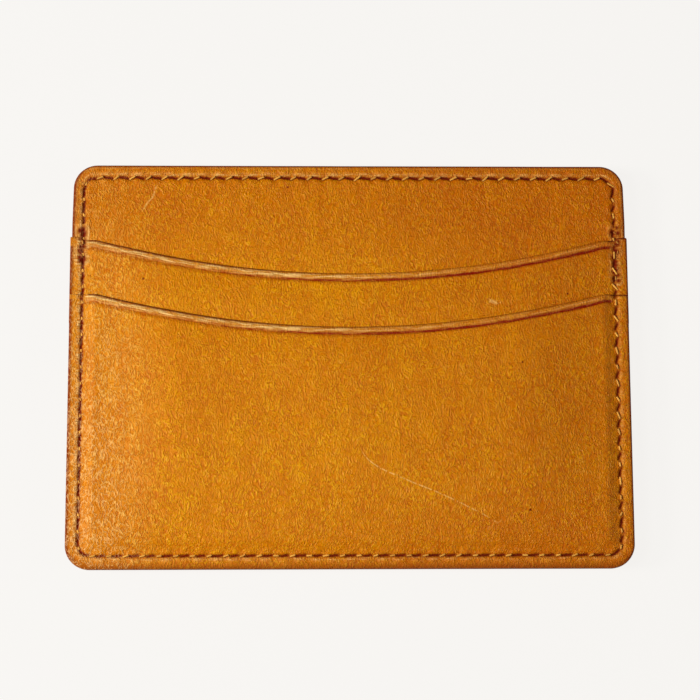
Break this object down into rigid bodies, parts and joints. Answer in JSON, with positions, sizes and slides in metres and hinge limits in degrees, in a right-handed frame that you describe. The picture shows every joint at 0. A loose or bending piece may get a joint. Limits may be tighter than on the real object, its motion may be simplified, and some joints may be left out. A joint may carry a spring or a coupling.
{
  "type": "card holder",
  "caption": "Flat stitched leather card holder with curved-mouth card slots on both faces and an open-topped centre pocket.",
  "frame": {"origin": "centre of the bounding box's underside, on the flat of the back face", "axes": "+X across the width, +Y towards the open top edge and the pocket mouths, +Z through the thickness, out of the front face"},
  "size_m": [0.1, 0.0724, 0.0079],
  "materials": {
    "leather": "vegetable-tanned, waxed, fine pebbled grain, burnished dark edges",
    "lining": "fine plain-weave cotton",
    "thread": "twisted waxed polyester"
  },
  "bodies": {
    "root": {"front_panel": "leather", "front_panel_lining": "lining", "front_upper_pocket": "leather", "front_lower_pocket": "leather", "front_top_seam_needle_thread": "thread", "front_top_seam_bobbin_thread": "thread", "front_pocket_floor_seam_thread": "thread", "back_panel": "leather", "back_panel_lining": "lining", "back_upper_pocket": "leather", "back_lower_pocket": "leather", "back_top_seam_needle_thread": "thread", "back_top_seam_bobbin_thread": "thread", "back_pocket_floor_seam_thread": "thread", "outer_seam_needle_thread": "thread", "outer_seam_bobbin_thread": "thread"}
  },
  "joints": []
}
